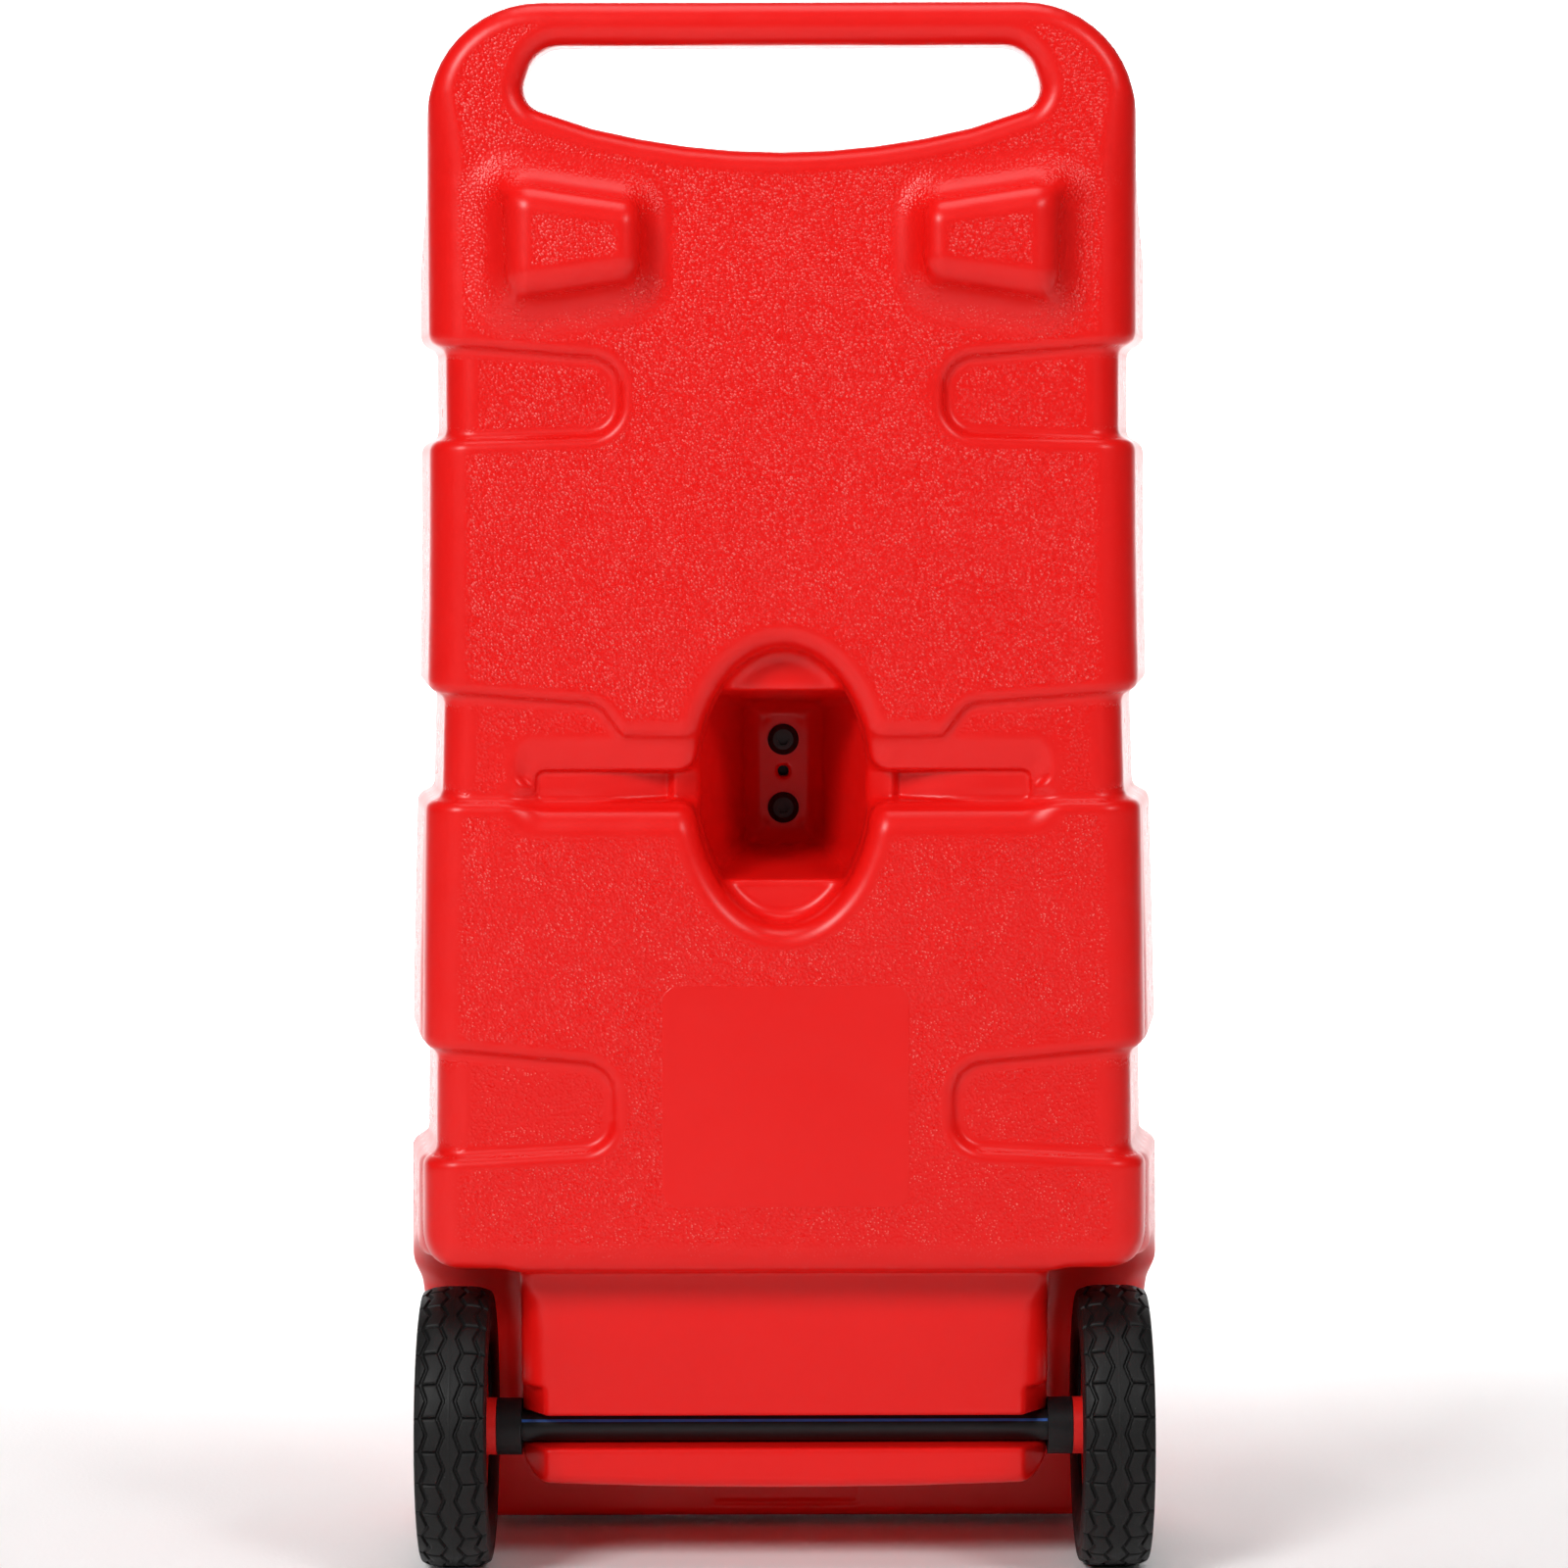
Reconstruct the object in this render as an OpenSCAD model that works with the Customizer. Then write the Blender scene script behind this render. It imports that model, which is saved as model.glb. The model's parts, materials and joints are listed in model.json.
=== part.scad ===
// Wheeled liquid tote: a hollow blow-moulded tank with a moulded-in pull handle,
// hose notches, two wheels on a steel axle, screw caps and a nozzle holster.
// Millimetres. The origin is on the ground, below the middle of the whole tote.
// +Z is up, -Y is the back (the axle side), +Y is the front, +X is the right
// side as seen from the back.

/* [Tank] */
// Height from the ground to the top of the handle
tote_h = 841.6; // [820:0.1:900]
// Width at the widest place, low on the parting line
tote_w = 412.4; // [400:0.1:430]
// Depth from the tyres and rest bumps to the front wall
tote_d = 260; // [250:1:275]
// Wall thickness of the moulding
wall_t = 5; // [4:0.5:6]
// Draft of each side away from the parting line, in degrees
side_draft = 6.6; // [4:0.1:8]
// Lean of each side towards the top, in degrees
side_lean = 1.06; // [0.5:0.01:1.5]
// Distance from the axle back to the flat back face
back_offset = 52; // [48:1:56]
// Distance from the axle forward to the parting line
parting_offset = 60; // [50:1:70]
// Height at which the front wall turns into the shoulder
shoulder_z = 671.6; // [660:0.1:690]

/* [Handle] */
// Height of the grip bar
grip_bar_h = 23; // [20:1:26]
// Thickness of the handle from back to front
grip_bar_t = 44; // [36:1:50]
// Half width of the hand opening at its sides
grip_hole_hw = 139.5; // [130:0.5:145]
// Lowest point of the hand opening
grip_hole_z = 762.9; // [760:0.1:772]
// Radius of the sagging lower edge of the hand opening
grip_sag_r = 401; // [380:1:440]

/* [Hose notches] */
// Depth of the hose notches in the sides
notch_side_t = 9; // [7:0.5:10]
// Depth of the hose notches in the back and front
notch_face_t = 5.5; // [4:0.5:7]

/* [Centre pocket] */
// Height of the middle of the pocket
pocket_z = 426.6; // [425:0.1:433]
// Half width of the oval rim
pocket_oval_a = 48; // [44:1:50]
// Half height of the oval rim
pocket_oval_b = 74.5; // [70:0.5:78]
// Depth of the oval step
pocket_step_t = 24; // [20:1:26]
// Width and height of the pocket's mouth
pocket_mouth = [78, 100];
// Width and height of the pocket's floor
pocket_floor = [38, 76];
// Thickness of the web between the pocket and the front recess
web_t = 9; // [8:0.5:10]
// Width of the front recess
recess_w = 96; // [90:1:100]
// Height of the front recess
recess_h = 150; // [140:1:156]

/* [Wheels and axle] */
// Tyre outside diameter
wheel_d = 152.4; // [150:0.1:153]
// Tyre width
tyre_w = 38.1; // [34:0.1:39]
// Distance from the middle of the tote to the middle of a tyre
wheel_x = 178.3; // [178:0.1:179]
// Radius at the inside of the tyre
tyre_in_r = 50; // [46:0.5:60]
// Axle rod diameter
axle_rod_d = 12; // [10:1:12]
// Outside diameter of the sleeve over the axle
sleeve_d = 17; // [16:0.5:18]
// Diameter of the spacers and of the hubs' bosses
boss_d = 31; // [28:1:34]
// Radius of the wheel arches
arch_r = 97; // [94:1:99]
// Height of the fenders' lower edge behind the wheels
fender_z = 165.6; // [160:0.1:170]
// Half width of the block between the wheels
block_hw = 143; // [140:1:145]
// Height of the underside of the block between the wheels
block_z = 47.6; // [44:0.1:54]

/* [Caps] */
// Distance of the filler neck to the left of the middle
filler_x = 80; // [74:1:90]
// Outside diameter of the filler neck
filler_neck_d = 60; // [56:1:64]
// Height of the filler neck
filler_neck_h = 26; // [22:1:28]
// Distance of the hose outlet to the right of the middle
outlet_x = 70; // [68:1:76]
// Outside diameter of the outlet neck
outlet_neck_d = 44; // [40:1:46]
// Distance of the vent to the right of the middle
vent_x = 134; // [130:1:138]
// Outside diameter of the vent neck
vent_neck_d = 28; // [26:1:30]
// Outside diameter of the hose spigot
spigot_d = 19; // [16:0.5:20]

/* [Holster] */
// Distance between the two holster bolts
bolt_gap = 38.2; // [36:0.1:42]
// Bolt shank diameter
bolt_d = 10; // [8:1:10]
// Inside diameter of the nozzle cup
cup_d = 36; // [32:1:38]

/* [Hidden] */
$fn = 64;

red = [0.85, 0.05, 0.04];
black = [0.05, 0.05, 0.055];
rubber = [0.09, 0.09, 0.09];
steel = [0.7, 0.71, 0.73];

far = 600;                        // reach of the cutting shapes
slop = 0.05;                      // radial running clearance
gap = 0.3;                        // clearance between pieces that move apart
axle_y = wheel_d / 2 - tote_d / 2;
axle_z = wheel_d / 2;
back_y = axle_y - back_offset;
front_y = tote_d / 2;
rest_y = -tote_d / 2;             // plane of the rest bumps' tops
parting_y = axle_y + parting_offset;
lean_z = 217.6;                   // height at which the tank is tote_w wide
grip_front_y = back_y + grip_bar_t;
shoulder_top_z = 756.6;
shoulder_tilt = atan2(shoulder_top_z - shoulder_z, front_y - grip_front_y);
pocket_floor_y = 46.2;
recess_floor_y = pocket_floor_y + web_t;
channel_r = sleeve_d / 2 + 0.2;
neck_y = 78;                      // the necks stand in a row across the shoulder
neck_z = shoulder_z + (front_y - neck_y) * tan(shoulder_tilt);

// ---------- outlines ----------

function unit(v) = v / norm(v);
function flat2(p) = [p[0], p[1]];
function wrap(a) = a > 180 ? a - 360 : a < -180 ? a + 360 : a;

// The rounded corner at b between its neighbours a and c; b[2] is the radius
function corner(a, b, c, steps) =
    let (r = b[2], u = unit(flat2(a) - flat2(b)), v = unit(flat2(c) - flat2(b)))
    r <= 0 ? [flat2(b)] :
    let (half = acos(u * v) / 2,
        mid = flat2(b) + unit(u + v) * r / sin(half),
        s = flat2(b) + u * r / tan(half) - mid,
        e = flat2(b) + v * r / tan(half) - mid,
        a0 = atan2(s[1], s[0]),
        turn = wrap(atan2(e[1], e[0]) - a0))
    [for (k = [0:steps]) mid + r * [cos(a0 + turn * k / steps), sin(a0 + turn * k / steps)]];

// An outline of [x, y, radius] corners with its corners rounded
function rounded(pts, steps = 5) =
    let (n = len(pts))
    [for (i = [0:n - 1]) each corner(pts[(i + n - 1) % n], pts[i], pts[(i + 1) % n], steps)];

// The same outline moved inwards by e (anticlockwise corners); e below 0 grows it
function inset(pts, e) =
    let (n = len(pts))
    [for (i = [0:n - 1])
        let (b = pts[i],
            u = unit(flat2(b) - flat2(pts[(i + n - 1) % n])),
            v = unit(flat2(pts[(i + 1) % n]) - flat2(b)),
            nu = [-u[1], u[0]],
            nv = [-v[1], v[0]],
            shift = (nu + nv) * e / (1 + nu * nv),
            bend = u[0] * v[1] - u[1] * v[0],
            r = b[2] <= 0 ? 0 : max(0.5, b[2] - sign(bend) * e))
        [b[0] + shift[0], b[1] + shift[1], r]];

function mirrored(pts) = [for (i = [len(pts) - 1:-1:0]) [-pts[i][0], pts[i][1], pts[i][2]]];
function ellipse(a, b, steps = 40) =
    [for (k = [0:steps - 1]) [a * cos(360 * k / steps), b * sin(360 * k / steps)]];
function rect(w, h, r) = [[w / 2, -h / 2, r], [w / 2, h / 2, r], [-w / 2, h / 2, r], [-w / 2, -h / 2, r]];
function lift(pts, z) = [for (p = pts) [p[0], p[1] + z, p[2]]];

// Half of the tank's outline seen from the back, from the foot up to the handle
half_outline = [[tote_w / 2, 0, 14], [tote_w / 2, 617.6, 0], [tote_w / 2 - 6, tote_h - 107, 40],
    [tote_w / 2 - 31, tote_h, 60]];
back_outline = concat(half_outline, mirrored(half_outline));

// The tank's outline seen from the side, as [y, z, radius]
side_outline = [
    [front_y, 0, 12],
    [front_y, shoulder_z, 40],
    [grip_front_y, shoulder_top_z, 18],
    [grip_front_y, tote_h, 11],
    [back_y, tote_h, 11],
    [back_y, fender_z - 2, 12],
    [back_y + 24, fender_z - 8, 12],
    [back_y + 24, block_z, 12],
    [axle_y + arch_r, block_z, 16],
    [axle_y + arch_r, 0, 6]];

// Section of the tank seen from above, rounded only on the right, as [x, y, radius]
function plan_outline(side_e, back_e, front_e) =
    let (y0 = back_y + back_e, y1 = front_y - front_e, w = tote_w / 2 - side_e, t = tan(side_draft))
    [[-far, y0, 0], [w - (parting_y - y0) * t, y0, max(8, 20 - back_e)], [w, parting_y, 0],
        [w - (y1 - parting_y) * t, y1, max(8, 28 - front_e)], [-far, y1, 0]];

// Hand opening, with its sagging lower edge
grip_top_z = tote_h - grip_bar_h;
grip_sag = [for (x = [-100:25:100]) [x, grip_hole_z + x * x / (2 * grip_sag_r), 0]];
grip_outline = concat(grip_sag, [[grip_hole_hw, grip_hole_z + 25.5, 12],
    [grip_hole_hw - 10, grip_top_z, 18], [10 - grip_hole_hw, grip_top_z, 18],
    [-grip_hole_hw, grip_hole_z + 25.5, 12]]);

// Hose notches on the right, as [x, z, radius]
notch_top = [[230, 609.6, 0], [230, 666.1, 0], [86, 652.6, 17], [86, 614.6, 17]];
notch_middle = [[149, 419.6, 6], [230, 419.6, 0], [230, 482.1, 0], [98, 470.6, 14], [85, 452.1, 4],
    [30, 450.6, 0], [30, 400.6, 0], [136, 404.1, 8]];
notch_low = [[230, 226, 0], [230, 292.6, 0], [91, 277.1, 17], [91, 234.1, 17]];

// Rest bump on the right: its foot on the back face and its flat top
bump_foot = [[72.6, 686.6, 12], [149, 674.6, 12], [154, 754.6, 12], [71.6, 740.6, 12]];
bump_top = [[81, 702.6, 6], [136, 696.6, 6], [136, 739.6, 6], [81, 730.6, 6]];

// ---------- helpers ----------

// Extrudes an [x, z] outline from y0 to y1
module along_y(pts, y0, y1) {
    translate([0, y1, 0]) rotate([90, 0, 0]) linear_extrude(y1 - y0) polygon(pts);
}

// Extrudes a [y, z] outline from x0 to x1
module along_x(pts, x0, x1) {
    translate([x0, 0, 0]) rotate([90, 0, 90]) linear_extrude(x1 - x0) polygon(pts);
}

module both_sides() {
    children();
    mirror([1, 0, 0]) children();
}

// A ring or tube about Z
module tube(r_out, r_in, h) {
    difference() {
        cylinder(r = r_out, h = h);
        translate([0, 0, -1]) cylinder(r = r_in, h = h + 2);
    }
}

// Places children with Z along the axle, starting x from the middle
module on_axle(x) {
    translate([x, axle_y, axle_z]) rotate([0, 90, 0]) children();
}

// Places children on the shoulder, with Z square to its slope
module on_shoulder(x) {
    translate([x, neck_y, neck_z]) rotate([-shoulder_tilt, 0, 0]) children();
}

// Places children on the holster bolts' axis, with Z pointing to the front
module on_bolts(y) {
    for (s = [-1, 1])
        translate([0, y, pocket_z + s * bolt_gap / 2]) rotate([-90, 0, 0]) children();
}

// ---------- tank ----------

// Everything between the two leaning, drafted sides
module side_walls(side_e, back_e, front_e) {
    intersection_for (m = [0, 1])
        mirror([m, 0, 0])
            translate([tote_w / 2, 0, lean_z]) rotate([0, -side_lean, 0])
                translate([-tote_w / 2, 0, -far])
                    linear_extrude(3 * far) polygon(rounded(plan_outline(side_e, back_e, front_e)));
}

module tank_block(e) {
    intersection() {
        side_walls(e, e, e);
        along_y(rounded(inset(back_outline, e)), -far, far);
        along_x(rounded(inset(side_outline, e)), -far, far);
    }
}

module rest_bumps(e) {
    both_sides() hull() {
        along_y(rounded(inset(bump_foot, e)), back_y + e - 1, back_y + e + 4);
        along_y(rounded(inset(bump_top, e)), rest_y + e, rest_y + e + 1);
    }
}

module hose_notches(e) {
    difference() {
        both_sides() for (n = [notch_top, notch_middle, notch_low])
            along_y(rounded(inset(n, -e)), -far, far);
        side_walls(notch_side_t + e, notch_face_t + e, notch_face_t + e);
    }
}

// Troughs beside the pocket, each with a narrower slot in its floor
module troughs(e) {
    both_sides() {
        along_y(rounded(lift([[30, -20 - e, 0], [141 + e, -20 - e, 8], [141 + e, 20 + e, 8],
            [30, 20 + e, 0]], pocket_z - 2)), -far, back_y + 10 + e);
        along_y(rounded(lift([[30, -8.5 - e, 0], [132 + e, -8.5 - e, 5], [132 + e, 8.5 + e, 5],
            [30, 8.5 + e, 0]], pocket_z - 1.5)), -far, back_y + 20 + e);
    }
}

// Oval step and the tapered pocket in the back
module back_pocket(e) {
    step_y = back_y + pocket_step_t;
    y1 = pocket_floor_y + e;
    translate([0, 0, pocket_z])
        along_y(ellipse(pocket_oval_a + e, pocket_oval_b + e), -far, step_y + e);
    intersection() {
        translate([0, 0, pocket_z - 100]) linear_extrude(200)
            polygon([[-pocket_mouth[0] / 2 - e, step_y - 1], [pocket_mouth[0] / 2 + e, step_y - 1],
                [pocket_floor[0] / 2 + e, y1], [-pocket_floor[0] / 2 - e, y1]]);
        translate([0, 0, pocket_z])
            along_x([[step_y - 1, -pocket_mouth[1] / 2 - e], [y1, -pocket_floor[1] / 2 - e],
                [y1, pocket_floor[1] / 2 + e], [step_y - 1, pocket_mouth[1] / 2 + e]], -100, 100);
    }
}

module front_recess(e) {
    along_y(rounded(lift(rect(recess_w + 2 * e, recess_h + 2 * e, 16), pocket_z)),
        recess_floor_y - e, far);
}

// Arches over the wheels, open to the side, the back and the ground
module wheel_arches(e) {
    r = arch_r + e;
    lip_r = fender_z - axle_z + e;
    both_sides() on_axle(block_hw - e) {
        cylinder(r = r, h = far);
        translate([-lip_r, -far, 0]) cube([lip_r + far, far, far]);
        translate([0, -far, 0]) cube([far, far + r, far]);
    }
}

// Channel across the block that the axle and its sleeve lie in
module axle_channel(e) {
    r = channel_r + e;
    on_axle(-block_hw - e - 1) {
        cylinder(r = r, h = 2 * (block_hw + e + 1));
        translate([-r, -far, 0]) cube([2 * r, far, 2 * (block_hw + e + 1)]);
    }
}

module recesses(e) {
    hose_notches(e);
    troughs(e);
    back_pocket(e);
    front_recess(e);
    wheel_arches(e);
    axle_channel(e);
    along_y(rounded(inset(grip_outline, -e)), -far, far);
}

module neck(d, h) {
    translate([0, 0, -8]) cylinder(d = d, h = h + 8);
}

module neck_bore(d, h) {
    translate([0, 0, -20]) cylinder(d = d - 8, h = h + 21);
}

// Raised rings on a neck that its cap's thread runs over
module thread_rings(d, count) {
    for (k = [0:count - 1])
        translate([0, 0, 11 + k * 6]) cylinder(d = d + 2.6, h = 2);
}

outlet_neck_h = 22;
vent_neck_h = 14;
// The whole moulding, 5 mm thick all over and hollow inside
module tank_shell() {
    difference() {
        union() {
            difference() {
                union() {
                    tank_block(0);
                    rest_bumps(0);
                }
                recesses(0);
            }
            on_shoulder(-filler_x) {
                neck(filler_neck_d, filler_neck_h);
                thread_rings(filler_neck_d, 2);
            }
            on_shoulder(outlet_x) neck(outlet_neck_d, outlet_neck_h);
            on_shoulder(vent_x) neck(vent_neck_d, vent_neck_h);
        }
        difference() {
            union() {
                tank_block(wall_t);
                rest_bumps(wall_t);
            }
            recesses(wall_t);
        }
        on_shoulder(-filler_x) neck_bore(filler_neck_d, filler_neck_h);
        on_shoulder(outlet_x) neck_bore(outlet_neck_d, outlet_neck_h);
        on_shoulder(vent_x) neck_bore(vent_neck_d, vent_neck_h);
        on_bolts(0) cylinder(d = bolt_d + 0.6, h = far);
        translate([0, 0, pocket_z]) rotate([-90, 0, 0]) cylinder(d = 6.6, h = 100);
        foot_relief_w = 134;
        translate([-foot_relief_w / 2, 0, -1]) cube([foot_relief_w, far, 3]);
    }
}

// The moulding is kept as five solids that meet face to face: behind and in front of a plane
// just in front of the parting line, round the front recess, above the front's top notch, and
// the handle
split_y = parting_y + 3.8;
handle_z = 747.6;
front_top_z = 590;
recess_zone_w = 121;
recess_zone_h = 175;

// The part of the moulding between two depths and two heights
module tank_zone(y0, y1, z0, z1) {
    color(red) intersection() {
        tank_shell();
        translate([-far, y0, z0]) cube([2 * far, y1 - y0, z1 - z0]);
    }
}

module tank_back() {
    tank_zone(-far, split_y, -1, handle_z);
}

module recess_zone() {
    translate([-recess_zone_w / 2, split_y, pocket_z - recess_zone_h / 2])
        cube([recess_zone_w, far, recess_zone_h]);
}

module tank_front() {
    difference() {
        tank_zone(split_y, far, -1, front_top_z);
        recess_zone();
    }
}

module tank_recess() {
    color(red) intersection() {
        tank_shell();
        recess_zone();
    }
}

module tank_shoulder() {
    tank_zone(split_y, far, front_top_z, handle_z);
}

module pull_handle() {
    tank_zone(-far, far, handle_z, 2 * far);
}

// ---------- wheels and axle ----------

hub_in_x = 156.8;                 // inner end of a hub's boss
hub_out_x = 186;                  // outer end of a hub's boss
washer_t = 1.5;
cap_in_x = hub_out_x + gap + washer_t + 0.1;
axle_end_x = 192;

module axle_rod() {
    color(steel) on_axle(-axle_end_x) cylinder(d = axle_rod_d, h = 2 * axle_end_x);
}

module axle_sleeve() {
    color(black) on_axle(-block_hw) tube(sleeve_d / 2, axle_rod_d / 2 + 0.2, 2 * block_hw);
}

module spacer() {
    color(black) on_axle(block_hw + 0.1)
        tube(boss_d / 2, axle_rod_d / 2 + slop, hub_in_x - gap - block_hw - 0.1);
}

module right_spacer() {
    spacer();
}

module left_spacer() {
    mirror([1, 0, 0]) spacer();
}

// Hub with a boss, a web with round holes, ribs and the rim that the tyre sits on
module wheel_hub() {
    rim_w = tyre_w - 10;
    rim_r = tyre_in_r - 8;
    web_hub_t = 6;
    ribs = 6;
    rib_x = wheel_x - rim_w / 2 + 4;
    color(red) difference() {
        union() {
            on_axle(wheel_x - rim_w / 2) tube(tyre_in_r, rim_r, rim_w);
            on_axle(wheel_x - web_hub_t / 2) cylinder(r = rim_r + 1, h = web_hub_t);
            on_axle(hub_in_x) cylinder(d = boss_d, h = hub_out_x - hub_in_x);
            for (k = [0:ribs - 1])
                on_axle(rib_x) rotate([0, 0, k * 360 / ribs])
                    translate([10, -2, 0]) cube([rim_r - 9, 4, hub_out_x - rib_x]);
        }
        on_axle(hub_in_x - 1) cylinder(r = axle_rod_d / 2 + slop, h = hub_out_x - hub_in_x + 2);
        for (k = [0:ribs - 1])
            on_axle(wheel_x - web_hub_t) rotate([0, 0, (k + 0.5) * 360 / ribs])
                translate([28.5, 0, 0]) cylinder(r = 7, h = 2 * web_hub_t);
    }
}

module right_wheel_hub() {
    wheel_hub();
}

module left_wheel_hub() {
    mirror([1, 0, 0]) wheel_hub();
}

// Tyre section as [radius, width, corner radius]
tyre_outline = [[tyre_in_r + 0.1, -tyre_w / 2 + 2.5, 2], [tyre_in_r + 9, -tyre_w / 2, 4],
    [axle_z - 1.2, -tyre_w / 2, 6], [axle_z, -tyre_w / 4, 12], [axle_z, tyre_w / 4, 12],
    [axle_z - 1.2, tyre_w / 2, 6], [tyre_in_r + 9, tyre_w / 2, 4],
    [tyre_in_r + 0.1, tyre_w / 2 - 2.5, 2]];

module tyre() {
    color(rubber) on_axle(wheel_x) rotate_extrude($fn = 96) polygon(rounded(tyre_outline, 3));
}

module right_tyre() {
    tyre();
}

module left_tyre() {
    mirror([1, 0, 0]) tyre();
}

module axle_washer() {
    color(steel) on_axle(hub_out_x + gap) tube(12, axle_rod_d / 2 + slop, washer_t);
}

module right_axle_washer() {
    axle_washer();
}

module left_axle_washer() {
    mirror([1, 0, 0]) axle_washer();
}

// Push-on cap that holds the wheel on the rod
module axle_cap() {
    color(black) difference() {
        union() {
            on_axle(cap_in_x) cylinder(r = 13, h = 4);
            on_axle(cap_in_x + 3) cylinder(r = 10.5, h = 4.5);
        }
        on_axle(cap_in_x - 1) cylinder(d = axle_rod_d, h = axle_end_x - cap_in_x + 1);
    }
}

module right_axle_cap() {
    axle_cap();
}

module left_axle_cap() {
    mirror([1, 0, 0]) axle_cap();
}

// ---------- caps and outlet ----------

gasket_t = 2.5;

// Screw cap over a neck: a top plate, a skirt and grip ribs
module screw_cap(neck_d, neck_h, skirt_h, plate_t, ribs) {
    bore_d = neck_d + 3.4;
    out_r = bore_d / 2 + 3.2;
    top = neck_h + gasket_t;
    difference() {
        union() {
            translate([0, 0, top - skirt_h]) cylinder(r = out_r, h = skirt_h + plate_t);
            for (k = [0:ribs - 1])
                rotate([0, 0, k * 360 / ribs]) translate([out_r, 0, top - skirt_h + 2])
                    cylinder(r = 1.4, h = skirt_h + plate_t - 4, $fn = 16);
        }
        translate([0, 0, top - skirt_h - 1]) cylinder(d = bore_d, h = skirt_h + 1);
    }
}

module gasket(neck_d, neck_h) {
    translate([0, 0, neck_h]) tube(neck_d / 2, neck_d / 2 - 5.5, gasket_t);
}

module filler_cap() {
    color(black) on_shoulder(-filler_x) screw_cap(filler_neck_d, filler_neck_h, 24, 5, 24);
}

module filler_gasket() {
    color(rubber) on_shoulder(-filler_x) gasket(filler_neck_d, filler_neck_h);
}

module vent_cap() {
    color(black) on_shoulder(vent_x) screw_cap(vent_neck_d, vent_neck_h, 12, 3, 14);
}

module vent_gasket() {
    color(rubber) on_shoulder(vent_x) gasket(vent_neck_d, vent_neck_h);
}

flange_t = 4;
stem_r = 9;                       // bore of the ring, around the spigot's stem
// Ring nut that clamps the spigot's flange to the outlet neck
module outlet_ring() {
    bore_r = outlet_neck_d / 2 + 0.4;
    out_r = bore_r + 4;
    top = outlet_neck_h + gasket_t + flange_t;
    ribs = 16;
    color(black) on_shoulder(outlet_x) difference() {
        union() {
            translate([0, 0, 4]) cylinder(r = out_r, h = top);
            for (k = [0:ribs - 1])
                rotate([0, 0, k * 360 / ribs]) translate([out_r, 0, 6])
                    cylinder(r = 1.4, h = top - 4, $fn = 16);
        }
        translate([0, 0, 3]) cylinder(r = bore_r, h = top - 3);
        translate([0, 0, top - 1]) cylinder(r = stem_r + 2.2, h = 10);
    }
}

module outlet_gasket() {
    color(rubber) on_shoulder(outlet_x) gasket(outlet_neck_d, outlet_neck_h);
}

pickup_r = 8;
spigot_h = 30;
// Flange with a hose spigot outside and a stem inside that holds the pickup tube
module hose_spigot() {
    base = outlet_neck_h + gasket_t;
    color(black) on_shoulder(outlet_x) difference() {
        union() {
            translate([0, 0, base]) cylinder(d = outlet_neck_d - 1, h = flange_t);
            translate([0, 0, base]) cylinder(d = spigot_d, h = flange_t + spigot_h);
            translate([0, 0, base + flange_t]) cylinder(r = stem_r + 2, h = 5);
            translate([0, 0, base - 25]) cylinder(r = pickup_r - 2, h = 26);
        }
        translate([0, 0, base - 30]) cylinder(r = pickup_r - 3.5, h = 80);
    }
}

pickup_wall = 2;
pickup_top = 2.5;                 // the tube's upper end, along the neck's axis
elbow_r = 11;
elbow_drop = 24;                  // the elbow's distance below the shoulder, along the neck's axis
knee_y = neck_y - elbow_drop * sin(shoulder_tilt);
knee_z = neck_z - elbow_drop * cos(shoulder_tilt);
strainer_z = 16;
strainer_seat = 22;               // the tube ends this far above the strainer's foot
// The tube's two runs and the ball between them, from the outlet stem down to the strainer
module pickup_runs(r, ball_r, over) {
    foot_z = strainer_z + strainer_seat - over;
    on_shoulder(outlet_x) translate([0, 0, -elbow_drop])
        cylinder(r = r, h = elbow_drop + pickup_top + over);
    translate([outlet_x, knee_y, foot_z]) cylinder(r = r, h = knee_z - foot_z);
    translate([outlet_x, knee_y, knee_z]) sphere(r = ball_r);
}

// Pickup tube: a short run in the neck, a ball elbow and a long vertical run
module pickup_tube() {
    color([0.8, 0.8, 0.75]) difference() {
        pickup_runs(pickup_r, elbow_r, 0);
        pickup_runs(pickup_r - pickup_wall, elbow_r - pickup_wall, 1);
    }
}

// Slotted cup on the foot of the pickup tube
module pickup_strainer() {
    slots = 6;
    color(black) translate([outlet_x, knee_y, strainer_z]) difference() {
        cylinder(r = 12, h = 30);
        translate([0, 0, 2]) cylinder(r = 10, h = 18);
        translate([0, 0, 19]) cylinder(r = pickup_r - pickup_wall, h = 4);
        translate([0, 0, strainer_seat]) cylinder(r = pickup_r, h = 9);
        for (k = [0:slots - 1])
            rotate([0, 0, k * 360 / slots]) translate([8, -1.2, 4]) cube([6, 2.4, 13]);
    }
}

// ---------- holster ----------

plate_t = 5;
cup_wall = 3.5;
cup_y = recess_floor_y + plate_t + 16 + cup_wall + cup_d / 2;
cup_z = pocket_z - 60;
cup_h = 62;

// Back plate, two cheeks and an open-topped cup for a filling nozzle
module nozzle_holster() {
    plate = rect(62, 128, 10);
    cheek_x = 19;
    color(black) difference() {
        union() {
            along_y(rounded(lift(plate, pocket_z)), recess_floor_y, recess_floor_y + plate_t);
            translate([0, cup_y, cup_z]) cylinder(d = cup_d + 2 * cup_wall, h = cup_h);
            both_sides() translate([cheek_x - 4, recess_floor_y + 1, cup_z])
                cube([4, cup_y - recess_floor_y, cup_h]);
        }
        translate([0, cup_y, cup_z + 4]) cylinder(d = cup_d, h = cup_h);
        translate([0, cup_y, cup_z - 1]) cylinder(r = 6, h = 10);
        on_bolts(recess_floor_y - 1) cylinder(d = bolt_d + 0.6, h = plate_t + 2);
    }
}

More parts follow.
